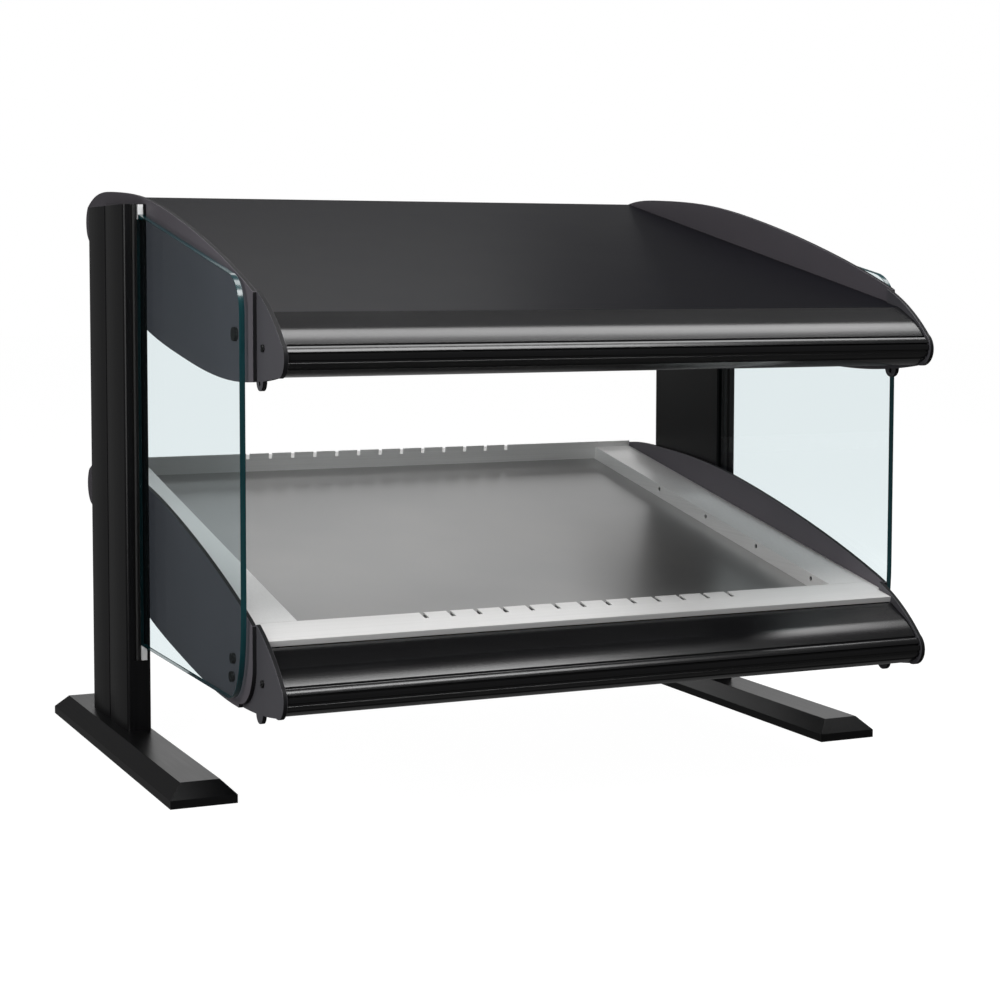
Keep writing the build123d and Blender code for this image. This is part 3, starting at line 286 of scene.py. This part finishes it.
def moulding(name, level, tint, rough=0.42, specular=0.4):
    """Moulded plastic with a fine spark-eroded grain."""
    paint = Paint(name)
    grain = paint.noise(paint.place, 2600.0, 3.0, 0.6)
    cloud = paint.noise(paint.place, 20.0, 2.0)
    paint.set(
        Base_Color=paint.mix(cloud, grey(level * 0.9, tint), grey(level * 1.1, tint)),
        Roughness=rough + 0.06 * grain,
        Normal=paint.bump(grain, 0.00002, 0.5),
        Specular_IOR_Level=specular,
    )
    return paint.material


def plain_metal(name, level, rough, tint=(1.0, 1.0, 1.0)):
    """Plated or polished metal with a faint mottle."""
    paint = Paint(name)
    grain = paint.noise(paint.place, 700.0, 3.0)
    paint.set(
        Base_Color=paint.mix(grain, grey(level * 0.85, tint), grey(level * 1.1, tint)),
        Roughness=rough + 0.15 * (grain - 0.5),
        Normal=paint.bump(grain, 0.00001, 0.4),
        Metallic=1.0,
    )
    return paint.material


def fibre(name, level, tint):
    """Matt mat of fibres."""
    paint = Paint(name)
    strands = paint.noise(paint.stretched((ACROSS, FIBRE, ACROSS)), 1.0, 5.0, 0.7)
    paint.set(
        Base_Color=paint.mix(strands, grey(level * 0.8, tint), grey(level * 1.1, tint)),
        Roughness=0.92,
        Normal=paint.bump(strands, 0.0004, 0.7),
    )
    return paint.material


def glass_face(name):
    """Clear pane: the faint green-blue of float glass, and a thin gloss over it."""
    paint = Paint(name)
    haze = paint.noise(paint.place, 30.0, 2.0)
    paint.set(Base_Color=grey(0.8), Metallic=1.0, Roughness=0.02 + 0.02 * haze)
    clear = paint.node("BsdfTransparent", {}, {"Color": GLASS_TINT})
    gloss = Wave(paint, paint.shader.outputs["BSDF"])
    both = paint.node("MixShader", {}, [GLASS_GLOSS, clear, gloss])
    paint.feed(paint.tree.nodes["Material Output"].inputs["Surface"], both)
    return paint.material


def glass_edge(name):
    """Polished edge, where the glass is seen through its length."""
    paint = Paint(name)
    lines = paint.noise(paint.stretched((ACROSS, POLISHED, POLISHED)), 1.0, 3.0)
    paint.set(
        Base_Color=paint.mix(lines, GLASS_EDGE_DARK, GLASS_EDGE_LIGHT),
        Roughness=0.22 + 0.05 * lines,
        Coat_Weight=0.4,
    )
    return paint.material


def clear_plastic(name):
    """Milky moulding of a lens or a glass stop."""
    paint = Paint(name)
    haze = paint.noise(paint.place, 200.0, 2.0)
    paint.set(Base_Color=paint.mix(haze, grey(0.62), grey(0.74)), Roughness=0.22 + 0.08 * haze)
    return paint.material


MATERIALS = {
    "roof": powder_coat("roof_coat", 0.0045, (1.0, 1.0, 1.35), 0.032, 0.32),
    "plate": powder_coat("side_plate_coat", 0.085, (1.03, 0.95, 1.08), 0.2, 0.5),
    "cover": powder_coat("cover_coat", 0.055, (1.0, 1.0, 1.08), 0.3, 0.5),
    "cap": moulding("cap_moulding", 0.06, (1.0, 0.98, 1.1)),
    # Painted shade: a near-black finish for the edge faces of plates and caps, standing in for the
    # shadow in the gap beside them
    "painted_shade_edge": powder_coat("painted_shade_edge_coat", 0.010, (1.0, 1.0, 1.1), 0.12, 0.5),
    "knob": moulding("knob_moulding", 0.035, (1.0, 1.0, 1.04), 0.35, 0.5),
    "post": anodised("post_anodised", 0.004, (ACROSS, ACROSS, DRAWN), 0.3, 0.18, 0.2),
    "foot": anodised("foot_anodised", 0.004, (ACROSS, DRAWN, ACROSS), 0.3, 0.15, 0.28),
    "nose": anodised("nose_anodised", 0.004, (DRAWN, ACROSS, ACROSS), 0.2, 0.1, 0.5),
    "steel_x": brushed("stainless_across", 0.86, (BRUSHED, ACROSS, ACROSS), 0.4),
    "steel_y": brushed("stainless_along", 0.86, (ACROSS, BRUSHED, ACROSS), 0.4),
    "hot_plate": hard_coat("hard_coat"),
    "glass": glass_face("clear_glass"),
    "glass_edge": glass_edge("polished_edge"),
    "clear": clear_plastic("milky_plastic"),
    "rubber": moulding("black_rubber", 0.012, (1.0, 1.0, 1.0), 0.6, 0.3),
    "zinc": plain_metal("zinc_plate", 0.5, 0.35),
    "black_screw": plain_metal("black_screw", 0.06, 0.35),
    "sheath": plain_metal("element_sheath", 0.12, 0.55, (1.0, 0.93, 0.88)),
    "mirror": plain_metal("bright_reflector", 0.85, 0.14),
    "ceramic": moulding("white_ceramic", 0.7, (1.0, 0.96, 0.88), 0.35, 0.5),
    "blanket": fibre("silicone_blanket", 0.35, (1.0, 0.45, 0.25)),
    "wool": fibre("glass_wool", 0.7, (1.0, 0.93, 0.7)),
    "board": moulding("lamp_board", 0.8, (1.0, 1.0, 0.98), 0.4, 0.5),
    "rocker": moulding("rocker_gloss", 0.014, (1.0, 1.0, 1.0), 0.16, 0.6),
    "mark": moulding("white_mark", 0.8, (1.0, 1.0, 1.0), 0.5, 0.3),
}

FINISH = {
    "canopy_roof_panel": "roof", "canopy_bottom_pan": "cover", "shelf_bottom_pan": "cover",
    "canopy_rear_cover": "cover", "shelf_rear_cover": "cover", "canopy_nose": "nose",
    "shelf_nose": "nose", "front_divider_rail": "steel_x", "rear_divider_rail": "steel_x",
    "heated_plate": "hot_plate", "heating_blanket": "blanket", "insulation": "wool",
    "plate_sensor": "zinc", "terminal_block": "ceramic", "glazing_strips": "rubber",
    "upper_glass_stops": "clear", "lower_glass_stops": "clear", "canopy_glass_bumpers": "rubber",
    "shelf_glass_bumpers": "rubber", "cap_screws": "black_screw", "foot_screws": "zinc",
    "canopy_side_bolts": "zinc", "shelf_side_bolts": "zinc", "reflector": "mirror",
    "infrared_element": "sheath", "element_insulators": "ceramic", "element_guard": "zinc",
    "light_housing": "zinc", "light_board": "board", "light_lens": "clear",
    "power_switch_body": "knob", "light_switch_body": "knob", "power_rocker": "rocker",
    "light_rocker": "rocker", "power_inlet_gland": "knob",
}
for level in LEVELS:
    FINISH.update({
        level + "_heat_regulator": "rubber", level + "_heat_shaft": "zinc",
        level + "_heat_knob": "knob",
    })
for side in SIDES:
    FINISH.update({
        side + "_foot": "foot", side + "_post": "post", side + "_canopy_side_plate": "plate",
        side + "_shelf_side_plate": "plate", side + "_canopy_end_cap": "cap",
        side + "_shelf_end_cap": "cap", side + "_side_rail": "steel_y",
        side + "_deck_bracket": "zinc", side + "_glass": "glass",
    })


def put_material(piece, name):
    piece.data.materials.clear()
    piece.data.materials.append(MATERIALS[name])


def new_piece(name, mesh, body, finish):
    """Turns a finished bmesh into a piece that rides on a body."""
    data = bpy.data.meshes.new(name)
    mesh.to_mesh(data)
    mesh.free()
    piece = bpy.data.objects.new(name, data)
    bpy.context.scene.collection.objects.link(piece)
    data.materials.append(MATERIALS[finish])
    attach(piece, body)
    return piece


def node_mesh(node):
    """A merged copy of a node's mesh, with its flat faces made whole again."""
    mesh = bmesh.new()
    mesh.from_mesh(NODES[node].data)
    bmesh.ops.remove_doubles(mesh, verts=mesh.verts, dist=MERGE)
    bmesh.ops.dissolve_limit(mesh, angle_limit=FLAT, verts=mesh.verts, edges=mesh.edges)
    mesh.normal_update()
    return mesh


def sharp_edges(mesh):
    return [e for e in mesh.edges if len(e.link_faces) == 2 and e.calc_face_angle(0.0) > SHARP]


def round_edges(mesh, width, finish=-1):
    """Breaks every sharp edge, and shades the curved faces smooth."""
    bmesh.ops.bevel(
        mesh, geom=sharp_edges(mesh), offset=width, segments=EDGE_STEPS, profile=0.5,
        affect="EDGES", material=finish, clamp_overlap=True,
    )
    for face in mesh.faces:
        face.smooth = True
    for edge in mesh.edges:
        edge.smooth = len(edge.link_faces) == 2 and edge.calc_face_angle(0.0) < SHARP


def part_faces(mesh, across):
    """Gives the broad faces the first finish, and the faces round the edge the second."""
    for face in mesh.faces:
        face.material_index = 0 if abs(face.normal.x) > across else 1


def stand_in(name, mesh, node):
    """A finished piece that stands for a node, with its flat faces kept flat in the shading."""
    piece = new_piece(name, mesh, BODY_OF[node], FINISH[node])
    shading = piece.modifiers.new("flat_faces", "WEIGHTED_NORMAL")
    shading.keep_sharp = True
    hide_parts(node)
    return piece


def broken_edges(node, width):
    """The node with its edges broken."""
    mesh = node_mesh(node)
    round_edges(mesh, width)
    stand_in(node + "_finished", mesh, node)


def rimmed_plate(node):
    """A leaf-shaped plate or cap: edge faces in a near-black finish that is painted shade of the
    gap beside them, and a fine line of the face's own finish on the bevel where they meet.
    """
    mesh = node_mesh(node)
    part_faces(mesh, PLATE_FACE)
    round_edges(mesh, RIM_EDGE, 0)
    plate = stand_in(node + "_finished", mesh, node)
    # The edge faces get the painted shade finish, a dark stand-in for the shadowed gap
    plate.data.materials.append(MATERIALS["painted_shade_edge"])


def glass_pane(node):
    """A pane whose polished edge has its own darker finish."""
    mesh = node_mesh(node)
    part_faces(mesh, PANE_FACE)
    round_edges(mesh, GLASS_EDGE, 1)
    pane = stand_in(node + "_pane", mesh, node)
    pane.data.materials.append(MATERIALS["glass_edge"])


def middle_of(node):
    low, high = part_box(node)
    return (low + high) / 2


def dial_marks(name, knob):
    """A ring of marks on the rear cover round a knob, over three quarters of a circle."""
    middle = middle_of(knob)
    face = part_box("shelf_rear_cover")[1].y + DIAL_MARK_LIFT
    centre = Matrix.Translation((middle.x, face, middle.z))
    mesh = bmesh.new()
    for i in range(DIAL_MARKS):
        turn = Matrix.Rotation(radians(DIAL_FIRST - i * DIAL_STEP), 4, "Y")
        out = Matrix.Translation((0, 0, DIAL_RADIUS))
        long = DIAL_MARK_LONG if i % DIAL_LONG_EVERY == 0 else DIAL_MARK_SHORT
        size = Matrix.Diagonal((DIAL_MARK_WIDE, DIAL_MARK_THICK, long, 1))
        bmesh.ops.create_cube(mesh, size=1.0, matrix=centre @ turn @ out @ size)
    new_piece(name, mesh, "frame", "mark")


def pointer_mark(name, knob):
    """White line in the pointer rib of a knob."""
    middle = middle_of(knob)
    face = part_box(knob)[1].y + POINTER_LIFT
    place = Matrix.Translation((middle.x, face, middle.z + POINTER_OUT))
    size = Matrix.Diagonal((POINTER_WIDE, POINTER_THICK, POINTER_LONG, 1))
    mesh = bmesh.new()
    bmesh.ops.create_cube(mesh, size=1.0, matrix=place @ size)
    new_piece(name, mesh, BODY_OF[knob], "mark")


def dress_nodes():
    for node, piece in NODES.items():
        put_material(piece, FINISH[node])
    for side in SIDES:
        broken_edges(side + "_foot", CAST_EDGE)
        broken_edges(side + "_post", SHEET_EDGE)
        for part in ("canopy_side_plate", "shelf_side_plate", "canopy_end_cap", "shelf_end_cap"):
            rimmed_plate(side + "_" + part)
        broken_edges(side + "_side_rail", SHEET_EDGE)
        glass_pane(side + "_glass")
    for node in (
        "canopy_roof_panel", "canopy_nose", "shelf_nose", "front_divider_rail",
        "rear_divider_rail", "heated_plate", "canopy_rear_cover", "shelf_rear_cover",
        "shelf_heat_knob", "canopy_heat_knob", "power_switch_body", "light_switch_body",
        "power_rocker", "light_rocker", "power_inlet_gland", "cap_screws",
    ):
        broken_edges(node, FINE_EDGE)


def add_camera():
    data = bpy.data.cameras.new("camera")
    data.lens = CAMERA_LENS
    data.sensor_width = CAMERA_SENSOR
    data.shift_x, data.shift_y = CAMERA_SHIFT
    data.clip_end = CAMERA_REACH
    camera = bpy.data.objects.new("camera", data)
    bpy.context.scene.collection.objects.link(camera)
    yaw, pitch, roll = (radians(a) for a in (CAMERA_YAW, CAMERA_PITCH, CAMERA_ROLL))
    ahead = Vector((sin(yaw) * cos(pitch), cos(yaw) * cos(pitch), sin(pitch)))
    right = Vector((cos(yaw), -sin(yaw), 0.0))
    above = right.cross(ahead)
    side = right * cos(roll) + above * sin(roll)
    top = above * cos(roll) - right * sin(roll)
    turn = Matrix((side, top, -ahead)).transposed()
    camera.matrix_world = Matrix.Translation(CAMERA_AT) @ turn.to_4x4()
    bpy.context.scene.camera = camera


def softbox(name, size, power, at, aim):
    data = bpy.data.lights.new(name, "AREA")
    data.shape = "RECTANGLE"
    data.size, data.size_y = size
    data.energy = power
    lamp = bpy.data.objects.new(name, data)
    bpy.context.scene.collection.objects.link(lamp)
    lamp.location = at
    lamp.visible_camera = False
    lamp.rotation_euler = (Vector(aim) - Vector(at)).to_track_quat("-Z", "Y").to_euler()


def stage_piece(name, mesh, colour, glow):
    """Floor or backdrop: white to the camera, and unseen by the object's own reflections."""
    data = bpy.data.meshes.new(name)
    mesh.to_mesh(data)
    mesh.free()
    piece = bpy.data.objects.new(name, data)
    bpy.context.scene.collection.objects.link(piece)
    paint = Paint(name + "_paper")
    paint.set(
        Base_Color=grey(colour), Roughness=0.9, Emission_Color=grey(1.0), Emission_Strength=glow,
        Specular_IOR_Level=0.0,
    )
    piece.data.materials.append(paint.material)
    piece.visible_diffuse = False
    piece.visible_glossy = False
    piece.visible_transmission = False
    piece.visible_shadow = False


def add_studio():
    """White floor and backdrop, a dim even room, and softboxes above and all round."""
    floor = bmesh.new()
    bmesh.ops.create_grid(floor, x_segments=1, y_segments=1, size=FLOOR_HALF)
    stage_piece("floor", floor, FLOOR_GREY, FLOOR_GLOW)
    dome = bmesh.new()
    bmesh.ops.create_icosphere(
        dome, subdivisions=BACKDROP_STEPS, radius=FLOOR_HALF * BACKDROP_SHARE
    )
    bmesh.ops.reverse_faces(dome, faces=dome.faces)
    stage_piece("backdrop", dome, 0.0, BACKDROP_GLOW)

    world = bpy.data.worlds.new("room")
    bpy.context.scene.world = world
    world.use_nodes = True
    room = world.node_tree.nodes["Background"]
    room.inputs["Color"].default_value = grey(1.0)
    room.inputs["Strength"].default_value = ROOM_LIGHT

    for name, size, power, at, aim in SOFTBOXES:
        softbox(name, size, power, at, aim)
    bpy.context.scene.view_settings.view_transform = "Standard"


add_camera()
add_studio()
dress_nodes()
for level in LEVELS:
    dial_marks(level + "_dial_marks", level + "_heat_knob")
    pointer_mark(level + "_pointer_mark", level + "_heat_knob")
